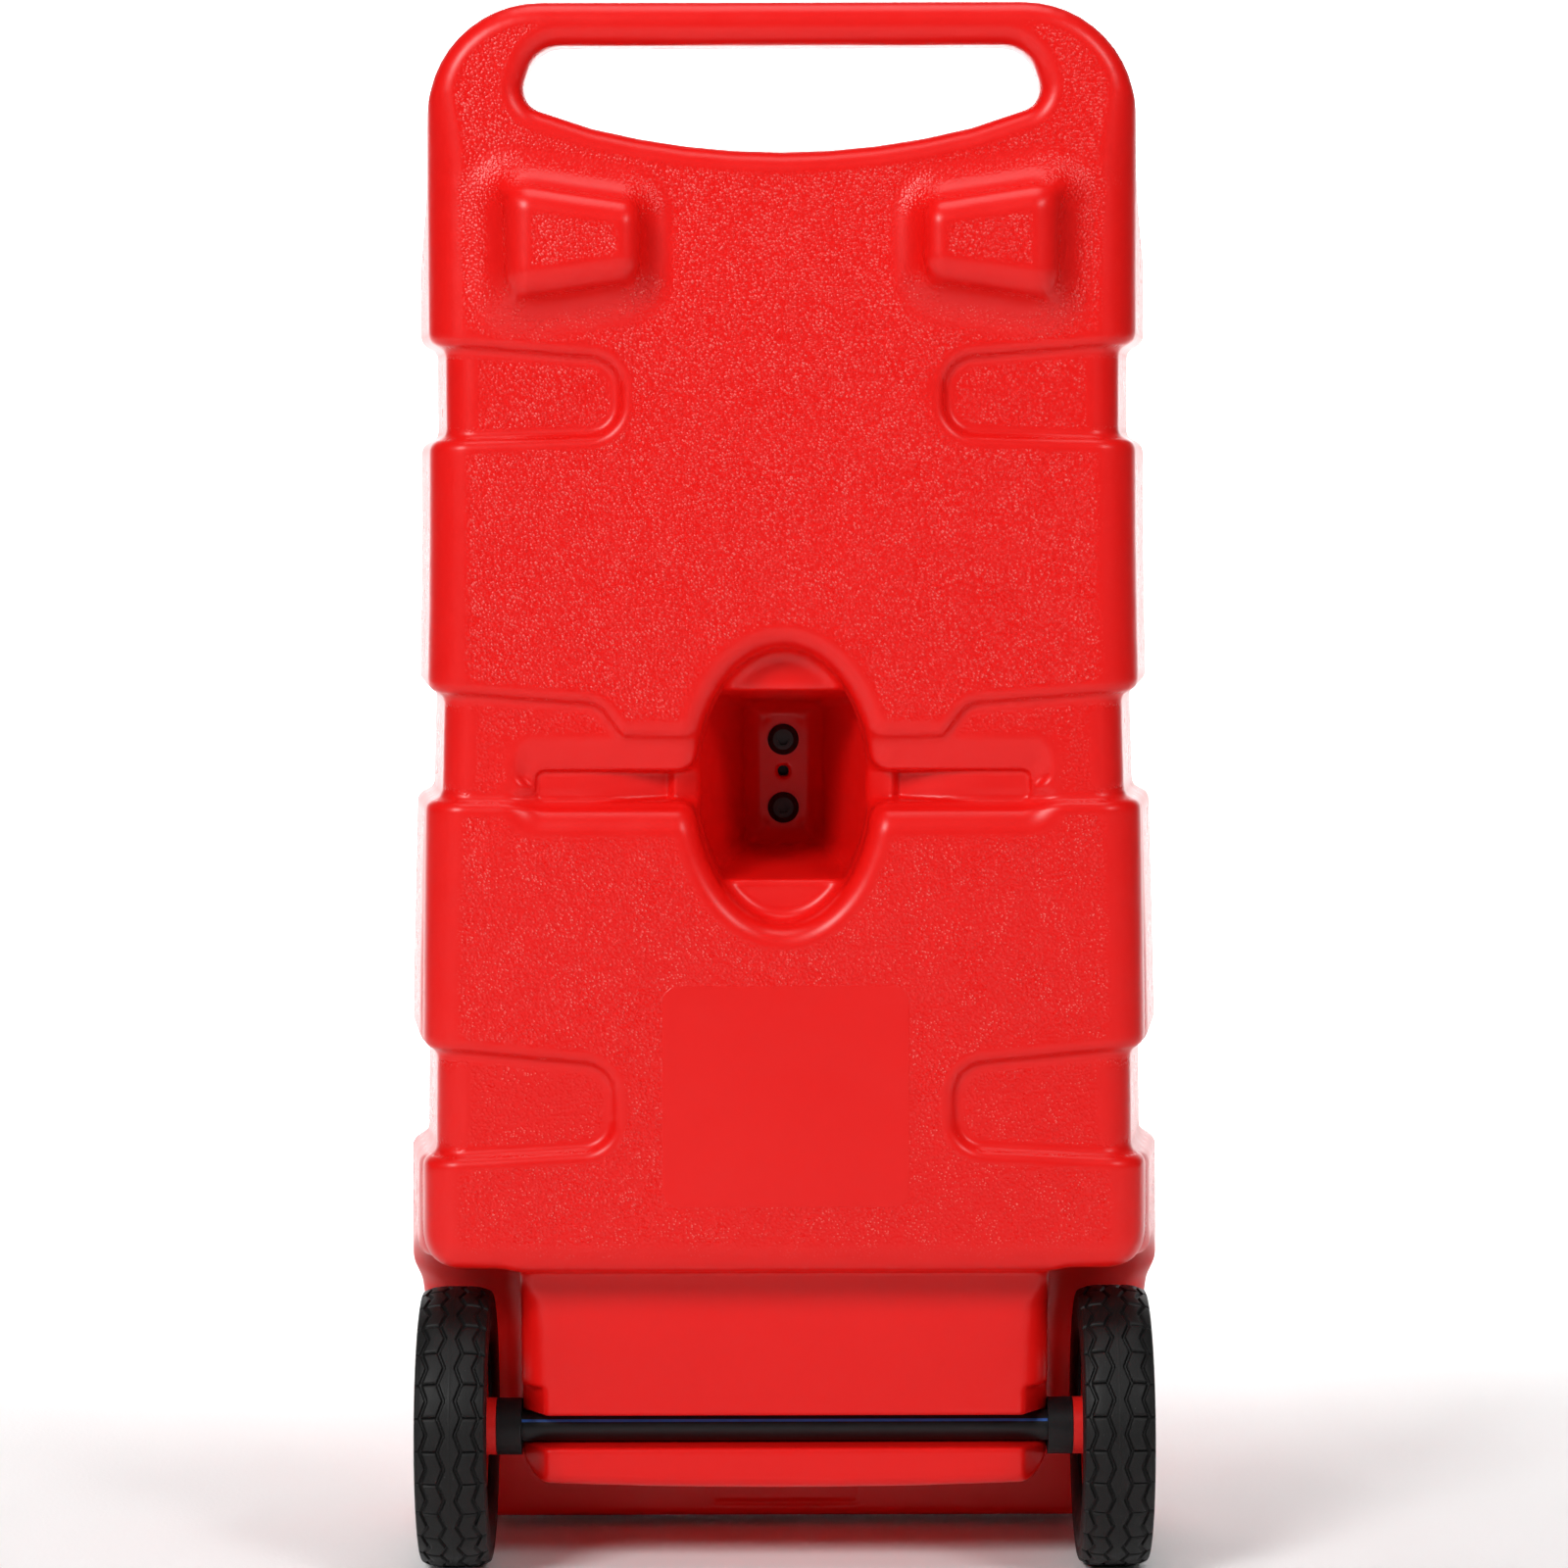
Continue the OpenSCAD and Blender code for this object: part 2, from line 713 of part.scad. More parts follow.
washer_thick = 2;
nut_h = 8;
module holster_bolts() {
    head_t = 5;
    shank = web_t + plate_t + washer_thick + nut_h + 2;
    color(black) on_bolts(pocket_floor_y) difference() {
        union() {
            translate([0, 0, -head_t / 2]) cylinder(d = 17.3, h = head_t / 2);
            translate([0, 0, -head_t]) cylinder(d1 = 11.5, d2 = 17.3, h = head_t / 2 + 0.01);
            cylinder(d = bolt_d, h = shank);
        }
        translate([0, 0, -head_t - 1]) cylinder(d = 6.9, h = 4, $fn = 6);
    }
}

module holster_washers() {
    color(steel) on_bolts(recess_floor_y + plate_t) tube(9, bolt_d / 2 + slop, washer_thick);
}

module holster_nuts() {
    color(steel) on_bolts(recess_floor_y + plate_t + washer_thick) difference() {
        cylinder(d = 18.5, h = nut_h, $fn = 6);
        translate([0, 0, -1]) cylinder(r = bolt_d / 2 + slop, h = nut_h + 2);
    }
}

tank_back();
tank_front();
tank_recess();
tank_shoulder();
pull_handle();
axle_rod();
axle_sleeve();
left_spacer();
right_spacer();
left_wheel_hub();
right_wheel_hub();
left_tyre();
right_tyre();
left_axle_washer();
right_axle_washer();
left_axle_cap();
right_axle_cap();
filler_cap();
filler_gasket();
vent_cap();
vent_gasket();
outlet_ring();
outlet_gasket();
hose_spigot();
pickup_tube();
pickup_strainer();
nozzle_holster();
holster_bolts();
holster_washers();
holster_nuts();
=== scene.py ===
"""Looks for a wheeled liquid tote: a red blow-moulded tank, treaded wheels, black fittings and a studio."""
import json
import math

import bpy
import numpy as np
import openvdb
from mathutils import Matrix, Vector


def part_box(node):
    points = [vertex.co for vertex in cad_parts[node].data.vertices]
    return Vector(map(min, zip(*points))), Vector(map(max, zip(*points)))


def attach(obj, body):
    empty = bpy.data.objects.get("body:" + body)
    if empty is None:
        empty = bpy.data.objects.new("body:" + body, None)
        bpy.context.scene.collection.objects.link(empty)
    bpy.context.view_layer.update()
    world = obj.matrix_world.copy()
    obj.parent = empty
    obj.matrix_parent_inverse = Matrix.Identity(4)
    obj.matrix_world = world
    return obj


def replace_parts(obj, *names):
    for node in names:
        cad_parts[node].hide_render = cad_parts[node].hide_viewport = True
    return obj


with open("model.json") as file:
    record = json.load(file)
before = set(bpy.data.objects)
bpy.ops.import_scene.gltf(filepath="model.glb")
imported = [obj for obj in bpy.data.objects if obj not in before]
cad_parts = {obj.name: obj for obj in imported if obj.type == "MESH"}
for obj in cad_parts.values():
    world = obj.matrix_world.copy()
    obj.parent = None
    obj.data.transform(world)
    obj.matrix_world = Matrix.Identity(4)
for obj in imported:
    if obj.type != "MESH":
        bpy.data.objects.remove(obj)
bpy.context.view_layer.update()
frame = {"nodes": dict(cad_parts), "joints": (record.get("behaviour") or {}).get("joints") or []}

MM = 0.001


def mm_box(node):
    """A CAD node's lowest and highest corners, in millimetres."""
    low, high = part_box(node)
    return np.array(low) / MM, np.array(high) / MM


def joint_point(name):
    """Where a joint's axis passes, in millimetres."""
    joint = next(j for j in frame["joints"] if j["name"] == name)
    return np.array(joint["pos_m"]) / MM, np.array(joint["axis"])


# ------------------------------------------------------------------ tank: sizes, in millimetres

TANK_NODES = ("tank_back", "tank_front", "tank_recess", "tank_shoulder", "pull_handle")
TANK_LOW = np.min([mm_box(n)[0] for n in TANK_NODES], axis=0)
TANK_HIGH = np.max([mm_box(n)[1] for n in TANK_NODES], axis=0)
WHEEL_AT, _ = joint_point("right_wheel_spin")
AXLE_Y, AXLE_Z = WHEEL_AT[1], WHEEL_AT[2]
HALF_W = TANK_HIGH[0]
TOP = TANK_HIGH[2] + 1.2
FRONT = TANK_HIGH[1]
REST = TANK_LOW[1]
BACK = AXLE_Y - 52
PARTING = AXLE_Y + 60
LEAN_Z, LEAN_TOP = 218.8, 600         # the sides lean in between these heights
NARROWING = 7.5
WIDENING = 0.004                      # share by which they flare below LEAN_Z
DRAFT = math.tan(math.radians(6.6))   # of the sides, from the parting line back and forward

GRIP_FRONT = BACK + 44
SHOULDER_Z = 672.8
SHOULDER_TOP = 757.8
GRIP_BAR = 23
GRIP_LOW = 764.1
GRIP_SAG_R = 401

BLOCK_HW = 143
BLOCK_Z = 45
FENDER_Z = 167
ARCH_R = 97
CHANNEL_R = 8.7

NOTCH_SIDE, NOTCH_FACE = 9, 5.5       # depths of the hose notches
TROUGH_LOW, TROUGH_HIGH = 419, 446.5  # edges of the troughs beside the pocket
TROUGH_END, TROUGH_DEPTH = 134, 10
SLOT_HALF, SLOT_END = 8.6, 132        # the narrower slot in a trough

POCKET_Z = 427.8
STEP_DEPTH = 24
POCKET_FLOOR, RECESS_FLOOR = 46.2, 55.2
# Half width and half height: the pocket's oval rim, its tapered part's two ends, the pad under
# the bolts, and the front recess
OVAL = (49, 75.5)
MOUTH, FLOOR = (46, 51), (20, 39)
BOLT_PAD = (18, 34.3)
RECESS = (48, 75)

VOXEL = 2.0
TANK_TRIANGLES = 190000


# ------------------------------------------------------------------ distance fields

def unit(v):
    return v / np.linalg.norm(v)


def rounded(corners, steps=6):
    """The outline through [a, b, radius] corners, with round ones as arcs."""
    points = []
    count = len(corners)
    for i, (px, pz, r) in enumerate(corners):
        here = np.array([px, pz], float)
        if r <= 0:
            points.append(here)
            continue
        u = unit(np.array(corners[i - 1][:2], float) - here)
        v = unit(np.array(corners[(i + 1) % count][:2], float) - here)
        half = math.acos(np.clip(u @ v, -1, 1)) / 2
        centre = here + unit(u + v) * r / math.sin(half)
        first = here + u * r / math.tan(half) - centre
        last = here + v * r / math.tan(half) - centre
        a0 = math.atan2(first[1], first[0])
        turn = (math.atan2(last[1], last[0]) - a0 + math.pi) % (2 * math.pi) - math.pi
        for k in range(steps + 1):
            a = a0 + turn * k / steps
            points.append(centre + r * np.array([math.cos(a), math.sin(a)]))
    return np.array(points)


def polygon(points, a, b):
    """Signed distance to a closed outline over the arrays a and b; negative inside."""
    nearest = np.full(np.broadcast(a, b).shape, 1e9)
    inside = np.zeros(nearest.shape, bool)
    for (x0, y0), (x1, y1) in zip(points, np.roll(points, -1, axis=0)):
        ex, ey = x1 - x0, y1 - y0
        t = np.clip(((a - x0) * ex + (b - y0) * ey) / (ex * ex + ey * ey + 1e-12), 0, 1)
        nearest = np.minimum(nearest, (a - x0 - ex * t) ** 2 + (b - y0 - ey * t) ** 2)
        crosses = (y0 > b) != (y1 > b)
        inside ^= crosses & (a < x0 + (b - y0) * ex / (ey if abs(ey) > 1e-12 else 1e-12))
    return np.where(inside, -1, 1) * np.sqrt(nearest)


def both(a, b, r=0.0):
    """Where two fields overlap, with their outer edge rounded to radius r."""
    if np.all(r == 0):
        return np.maximum(a, b)
    return np.minimum(-r, np.maximum(a, b)) + np.hypot(np.maximum(a + r, 0), np.maximum(b + r, 0))


def either(a, b, r=0.0):
    """Two fields joined, with their inner corner filled to radius r."""
    if np.all(r == 0):
        return np.minimum(a, b)
    return np.maximum(r, np.minimum(a, b)) - np.hypot(np.maximum(r - a, 0), np.maximum(r - b, 0))


def cut(a, tool, r=0.0):
    """Field a with the tool's field taken away, and the new edge rounded to radius r."""
    return both(a, -tool, r)


def ellipse(a, b, half_a, half_b):
    """Nearly the signed distance to an ellipse; negative inside."""
    k = np.sqrt((a / half_a) ** 2 + (b / half_b) ** 2) + 1e-9
    slope = np.sqrt((a / half_a ** 2) ** 2 + (b / half_b ** 2) ** 2) + 1e-9
    return k * (k - 1) / slope


def ramp(v, low, high):
    """A smooth step from 0 at low to 1 at high."""
    t = np.clip((v - low) / (high - low), 0, 1)
    return t * t * (3 - 2 * t)


# ------------------------------------------------------------------ tank: shape

def tank_block(x, y, z):
    """The closed moulding before anything is cut: sides, profile, handle outline."""
    width = HALF_W - NARROWING * ramp(z, LEAN_Z, LEAN_TOP) + WIDENING * np.clip(LEAN_Z - z, 0, None)
    sides = (x - width + np.abs(y - PARTING) * DRAFT) / math.hypot(1, DRAFT)
    outline = polygon(rounded([
        (-500, -40, 0), (HALF_W, -40, 0), (HALF_W, 619, 0), (HALF_W - 6, 735, 40),
        (HALF_W - 31, TOP, 60), (-500, TOP, 0)], 10), x, z)
    profile = polygon(rounded([
        (FRONT, 0, 0), (FRONT, SHOULDER_Z, 40), (GRIP_FRONT, SHOULDER_TOP, 24), (GRIP_FRONT, 1000, 0),
        (BACK, 1000, 0), (BACK, 180, 26), (BACK + 7, 162, 8), (BACK + 24, 76, 60), (BACK + 26, 0, 0)],
        8), y, z)
    edge = 20 - 9 * ramp(z, 745, 815)
    foot = both(outline, -z, 14)
    return both(np.maximum(sides, foot), profile, edge), sides


def hose_notches(x, y, z, block, sides):
    """Shallow bands that wrap round the sides; their walls lean a little."""
    outlines = [
        [(260, 608.8), (260, 669.3), (85.5, 654.8, 17), (85.5, 614.8, 17)],
        [(260, 224.8), (260, 295.8), (90.5, 279.3, 17), (90.5, 234.3, 17)],
        [(260, 419.8), (260, 484.8), (98, 472.3, 14), (84.5, 454.3, 5), (30, 452.8), (30, 419.8)]]
    flat = None
    for corners in outlines:
        corners = [(c + (0,))[:3] for c in corners]
        field = polygon(rounded(corners, 8), x, z)
        flat = field if flat is None else np.minimum(flat, field)
    faces = np.maximum(BACK - y, y - FRONT)
    core = both(sides + NOTCH_SIDE, faces + NOTCH_FACE, 15)
    walls = flat + 0.45 * (np.clip(-block, 0, 12) - 2.5)
    return both(walls * 0.91, -core, 2.5)


def troughs(x, y, z):
    """The trough beside the pocket and the narrower slot in its floor."""
    depth = y - BACK
    low = TROUGH_LOW + 0.1 * depth
    beside_notch = (9 - 1.2 * np.clip(depth, 0, NOTCH_FACE)) * (1 - ramp(x, 80, 92))
    high = TROUGH_HIGH + beside_notch - 2.2 * np.clip(depth - NOTCH_FACE, 0, None)
    end = TROUGH_END + 7 * ramp(z, 424, 434) - 0.2 * depth
    trough = both(np.maximum(low - z, (z - high) * 0.55), x - end, 6)
    trough = both(both(trough, 30 - x), depth - TROUGH_DEPTH, 2)
    floor = 13 + np.clip(108 - x, 0, None) ** 2 / 180
    floor = floor - 8 * ramp(-x, -61, -59)
    slot_wall = np.abs(z - POCKET_Z - 0.3) - SLOT_HALF + 0.1 * (depth - TROUGH_DEPTH)
    slot = both(slot_wall, x - SLOT_END, 5)
    slot = both(both(slot, 30 - x), (depth - floor) * 0.9, 1.5)
    return trough, slot


def back_pocket(x, y, z):
    """The oval step and the tapered pocket below it."""
    depth = y - BACK
    up = z - POCKET_Z
    step = both(ellipse(x, up, *OVAL) + 0.14 * depth, depth - STEP_DEPTH, 6)
    start = STEP_DEPTH - 2
    t = np.clip((depth - start) / (POCKET_FLOOR - BACK - start), 0, 1)
    half_w, half_h = (m + (f - m) * t for m, f in zip(MOUTH, FLOOR))
    walls = both(x - half_w, np.abs(up) - half_h, 6)
    within_oval = ellipse(x, up, OVAL[0] - 3.5, OVAL[1] - 2.5)
    deep = both(np.maximum(walls, within_oval), y - POCKET_FLOOR, 12)
    return step, deep


def rest_bump(x, y, z):
    """A tapered bump that the tote lies on."""
    t = np.clip((BACK - y) / (BACK - REST), 0, 1.2)
    foot = polygon(rounded([(73, 688.8, 12), (150, 675.8, 12), (154.5, 754.8, 12), (72, 741.8, 12)]), x, z)
    crown = polygon(rounded([(76, 700.3, 9), (141, 691.3, 9), (141, 742.8, 9), (76, 732.8, 9)]), x, z)
    return both(both((foot * (1 - t) + crown * t) * 0.86, REST + 0.3 - y, 8), y - BACK - 6)


def wheel_space(x, y, z):
    """All that is cut away round the wheels and below the block between them."""
    arch = np.minimum(np.hypot(y - AXLE_Y, z - AXLE_Z) - ARCH_R, np.maximum(y - AXLE_Y, z - FENDER_Z))
    arch = np.minimum(arch, np.maximum(z - AXLE_Z, y - AXLE_Y - ARCH_R))
    under = BLOCK_Z + 3 * (x / BLOCK_HW) ** 2
    block = both(x - BLOCK_HW, under - z, 17)
    return both(-block, arch, 13)


def axle_end_relief(x, y, z):
    """The block's corners are cut deeper beside the ends of the axle."""
    slope = (y - (BACK + 28 + (x - 127) * 1.6)) * 0.6
    return both(both(127 - x, z - 100.8, 3), slope, 2)


def fender_corner(x, y, z):
    """Outside of the rounded lower corner of the back face above each wheel."""
    edge = HALF_W - (PARTING - y) * DRAFT
    corner = both(x - edge, FENDER_Z - z, 24)
    return np.maximum(-corner, (y - BACK - 40) * 0.5) + np.clip(y - BACK - 24, 0, None) * 0.5


def grip_hole(x, z):
    """The hand opening; its lower edge sags between its ends."""
    sag = [(sx, GRIP_LOW + sx * sx / (2 * GRIP_SAG_R), 0) for sx in range(-100, 101, 25)]
    ends = [(139.5, 789.6, 12), (130, TOP - GRIP_BAR, 18), (-130, TOP - GRIP_BAR, 18), (-139.5, 789.6, 12)]
    return polygon(rounded(sag + ends), x, z)


def neck(field, x, y, z, name, radius, height, wall=4):
    """Adds a screw neck to the shoulder, open at the top."""
    at, axis = joint_point(name)
    along = (x - at[0]) * axis[0] + (y - at[1]) * axis[1] + (z - at[2]) * axis[2] + height
    across = np.sqrt(np.maximum((x - at[0]) ** 2 + (y - at[1]) ** 2 + (z - at[2]) ** 2
                                - (along - height) ** 2, 0))
    tube = both(both(across - radius, along - height, 1.2), -8 - along)
    field = either(field, tube, 3)
    bore = both(across - radius + wall, -(along + 40))
    return cut(field, bore, 1)


def tank_field(x, y, z):
    """The whole right half of the tank, for x from 0 up."""
    block, sides = tank_block(x, y, z)
    field = cut(block, hose_notches(x, y, z, block, sides), 3.5)
    field = either(field, rest_bump(x, y, z), 13)
    trough, slot = troughs(x, y, z)
    field = cut(field, trough, 5 + 12 * ramp(-z, -430, -421))
    field = cut(field, slot, 1.2)
    step, deep = back_pocket(x, y, z)
    field = cut(field, step, 10)
    field = cut(field, deep, 2.5)
    field = cut(field, fender_corner(x, y, z), 6)
    lip = 8 + 8 * ramp(-z, -158, -142) - 9 * ramp(-z, -82, -62)
    field = cut(field, wheel_space(x, y, z), lip)
    field = cut(field, axle_end_relief(x, y, z), 1.5)
    channel = np.minimum(np.hypot(y - AXLE_Y, z - AXLE_Z) - CHANNEL_R,
                         np.maximum(np.abs(z - AXLE_Z) - CHANNEL_R, y - AXLE_Y))
    field = cut(field, channel, 2)
    field = cut(field, grip_hole(x, z), 11)
    recess = both(x - RECESS[0], np.abs(z - POCKET_Z + 1.2) - RECESS[1], 16)
    recess = both(recess, RECESS_FLOOR - y, 4)
    field = cut(field, recess, 5)
    frame_edge = np.abs(both(x - 41, np.abs(z - 27) - 13.4, 2)) - 0.8
    field = cut(field, both(frame_edge, y - (AXLE_Y + ARCH_R + 1)), 0.6)
    field = cut(field, both(x - 62, z - 2, 2), 3)
    pad = both(ellipse(x, z - POCKET_Z, *BOLT_PAD), POCKET_FLOOR - 1.2 - y, 0.6)
    field = np.minimum(field, np.maximum(pad, y - 60))
    return cut(field, np.hypot(x, z - POCKET_Z) - 3.3)


def sample(field, low, points):
    """The field between its grid points, by trilinear interpolation."""
    at = (points - low) / VOXEL
    cell = np.clip(np.floor(at).astype(np.int32), 0, np.array(field.shape) - 2)
    f = at - cell
    total = 0
    for corner in np.ndindex(2, 2, 2):
        i, j, k = (cell + corner).T
        weight = np.prod(np.where(np.array(corner), f, 1 - f), axis=1)
        total = total + weight * field[i, j, k]
    return total


def slope_at(field, low, points):
    """The field's gradient, which points straight out of the surface."""
    rises = []
    for axis in range(3):
        step = np.zeros(3)
        step[axis] = 0.6 * VOXEL
        rises.append(sample(field, low, points + step) - sample(field, low, points - step))
    return np.array(rises).T / (1.2 * VOXEL)


def tank_mesh():
    """The tank's field, its lowest corner, and the surface as points and quads."""
    margin = 3 * VOXEL
    half_count = int((HALF_W + margin) / VOXEL) + 1
    xs = np.arange(half_count) * VOXEL
    ys = np.arange(REST - margin, FRONT + margin, VOXEL)
    zs = np.arange(-margin, TOP + margin, VOXEL)
    x, y, z = (a.astype(np.float32) for a in np.meshgrid(xs, ys, zs, indexing="ij", sparse=True))
    half = tank_field(x, y, z).astype(np.float32)
    field = np.concatenate([half[:0:-1], half])
    low = np.array([-xs[-1], ys[0], zs[0]])
    x = np.arange(field.shape[0]).reshape(-1, 1, 1) * VOXEL + low[0]
    field = neck(field, x, y, z, "filler_turn", 30, 26)
    field = neck(field, x, y, z, "vent_turn", 14, 14)
    field = field.astype(np.float32)
    grid = openvdb.FloatGrid(10.0)
    grid.copyFromArray(np.clip(field, -10, 10))
    points, quads = grid.convertToQuads(0.0)
    return field, low, points * VOXEL + low, quads


def mesh_object(name, points, faces):
    """A mesh from points in millimetres."""
    mesh = bpy.data.meshes.new(name)
    faces = [np.asarray(f) for f in faces]
    mesh.vertices.add(len(points))
    mesh.vertices.foreach_set("co", (np.asarray(points, np.float32) * MM).ravel())
    sizes = np.array([len(f) for f in faces])
    mesh.loops.add(int(sizes.sum()))
    mesh.loops.foreach_set("vertex_index", np.concatenate(faces).astype(np.int32))
    mesh.polygons.add(len(faces))
    mesh.polygons.foreach_set("loop_start", np.concatenate([[0], np.cumsum(sizes)[:-1]]).astype(np.int32))
    mesh.polygons.foreach_set("use_smooth", np.full(len(faces), True))
    mesh.update(calc_edges=True)
    mesh.validate()
    made = bpy.data.objects.new(name, mesh)
    bpy.context.scene.collection.objects.link(made)
    return made


def apply_modifiers(obj):
    ready = bpy.data.meshes.new_from_object(obj.evaluated_get(bpy.context.evaluated_depsgraph_get()))
    obj.modifiers.clear()
    obj.data = ready


def towards_middles(mesh, at):
    """A point for each face corner, moved a little towards the middle of a large face."""
    sizes = np.zeros(len(mesh.polygons), np.int32)
    mesh.polygons.foreach_get("loop_total", sizes)
    used = np.zeros(len(mesh.loops), np.int32)
    mesh.loops.foreach_get("vertex_index", used)
    face = np.repeat(np.arange(len(sizes)), sizes)
    corners = at[used]
    middles = np.stack([np.bincount(face, corners[:, k]) for k in range(3)], -1) / sizes[:, None]
    inwards = middles[face] - corners
    reach = np.linalg.norm(inwards, axis=1)
    return corners + inwards * (np.clip(reach - 4, 0, 6) / (reach + 0.001))[:, None]


def grain_at(field, low, at, normals):
    """How strongly the moulded grain shows: full on flat walls, none on tight bends or in the pocket."""
    bend = np.zeros(len(at))
    for axis in range(3):
        step = np.zeros(3)
        step[axis] = 2.5 * VOXEL
        bend += sample(field, low, at + step) + sample(field, low, at - step)
    bend = np.abs(bend - 6 * sample(field, low, at)) / (2.5 * VOXEL) ** 2
    x, y, z = np.abs(at[:, 0]), at[:, 1], at[:, 2]
    flat = 1 - ramp(bend, 0.012, 0.05)
    pocket = ellipse(x, z - POCKET_Z, *OVAL)
    shallow = np.maximum(np.abs(z - POCKET_Z) - 25, x - TROUGH_END - 14)
    flat *= ramp(np.where(y < BACK + 30, np.minimum(pocket - 10, shallow), pocket), -3, 6)
    flat *= ramp(z, 166, 182)
    sideways, forward, up = np.abs(normals[:, 0]), normals[:, 1], normals[:, 2]
    other = ramp(sideways, 0.7, 0.9) + ramp(forward, 0.8, 0.95) + ramp(up, 0.5, 0.8)
    return flat * np.where(y < BACK + 14, 1, other.clip(0, 1))


def make_tank():
    """The tank with fewer faces, pulled back onto the field, with its true normals and grain."""
    field, low, points, quads = tank_mesh()
    tank = mesh_object("tank", points, quads)
    fewer = tank.modifiers.new("fewer", "DECIMATE")
    fewer.ratio = min(1, TANK_TRIANGLES / (2 * len(quads)))
    apply_modifiers(tank)
    at = np.zeros(len(tank.data.vertices) * 3, np.float32)
    tank.data.vertices.foreach_get("co", at)
    at = at.reshape(-1, 3) / MM
    for _ in range(2):
        grad = slope_at(field, low, at)
        length = np.maximum((grad ** 2).sum(1), 0.2)
        at = at - np.clip(sample(field, low, at) / length, -0.5, 0.5)[:, None] * grad
    tank.data.vertices.foreach_set("co", (at * MM).astype(np.float32).ravel())
    tank.data.polygons.foreach_set("use_smooth", np.full(len(tank.data.polygons), True))
    inside = towards_middles(tank.data, at)
    grad = slope_at(field, low, inside)
    normals = grad / np.linalg.norm(grad, axis=1)[:, None]
    tank.data.normals_split_custom_set(normals)
    grain = tank.data.attributes.new("grain", "FLOAT", "CORNER")
    grain.data.foreach_set("value", grain_at(field, low, inside, normals).astype(np.float32))
    return tank


# ------------------------------------------------------------------ wheels

TREAD_BLOCKS = 26
TREAD_HALF = 17.2                     # half width of the tread between the shoulders
TYRE_R = AXLE_Z
TYRE_HALF = 19.05
TYRE_BEAD = 50.1


def tread_depth(u, turn):
    """How deep the tread's grooves are at u across and turn (0 to 1) round the tyre."""
    s = (turn * TREAD_BLOCKS) % 1
    swing = np.abs(2 * s - 1)
    across = np.abs(u)
    inner = np.abs(across - (3.0 + 3.4 * swing)) * 0.72
    outer = np.abs(across - (12.3 + 3.3 * swing)) * 0.72
    bar = np.abs((s + 0.5) % 1 - 0.5) * 2 * math.pi * TYRE_R / TREAD_BLOCKS
    bar = np.where(across > 6.0, bar, 9.0)
    near = np.minimum(np.minimum(inner, outer), bar)
    depth = 1.5 * (1 - ramp(near, 0.35, 0.85)) * (1 - ramp(across, TREAD_HALF + 0.3, TYRE_HALF - 0.05))
    mould_line = 0.12 * (1 - ramp(across, 0.15, 0.5))
    return depth - mould_line


def make_tyre(name, side):
    """A tyre whose tread is cut with zig-zag grooves and cross bars."""
    columns = np.linspace(-TREAD_HALF, TREAD_HALF, 87)
    crown = TYRE_R - 0.2 - 2.4 * (columns / TREAD_HALF) ** 4
    arc = np.radians(np.linspace(8, 82, 5))
    shoulder_u = TREAD_HALF + (TYRE_HALF - TREAD_HALF) * np.sin(arc)
    shoulder_r = TYRE_R - 2.6 - 3.6 * (1 - np.cos(arc))
    wall = [(TYRE_HALF, 68), (18.6, 66.6), (18.6, 65.6), (TYRE_HALF, 65), (19.0, 58), (18.4, 54),
            (17.2, 51.6), (15.8, TYRE_BEAD)]
    half = list(zip(shoulder_u, shoulder_r)) + wall
    across = np.array([(-u, r) for u, r in half[::-1]] + list(zip(columns, crown)) + half)
    steps = TREAD_BLOCKS * 26
    turn = np.arange(steps) / steps
    depth = tread_depth(across[None, :, 0], turn[:, None])
    depth = np.where(across[None, :, 1] > TYRE_R - 6, depth, 0)
    radius = across[None, :, 1] - depth
    angle = 2 * math.pi * turn[:, None]
    points = np.stack([np.broadcast_to(side * (WHEEL_AT[0] + across[None, :, 0]), radius.shape),
                       AXLE_Y + radius * np.cos(angle), AXLE_Z + radius * np.sin(angle)], -1)
    width = len(across)
    i, j = np.meshgrid(np.arange(steps), np.arange(width), indexing="ij")
    a = i * width + j
    b = ((i + 1) % steps) * width + j
    c = ((i + 1) % steps) * width + (j + 1) % width
    d = i * width + (j + 1) % width
    faces = np.stack([a, b, c, d], -1).reshape(-1, 4)
    if side > 0:
        faces = faces[:, ::-1]
    tyre = mesh_object(name, points.reshape(-1, 3), faces)
    tyre.data.set_sharp_from_angle(angle=math.radians(38))
    return tyre


# ------------------------------------------------------------------ materials

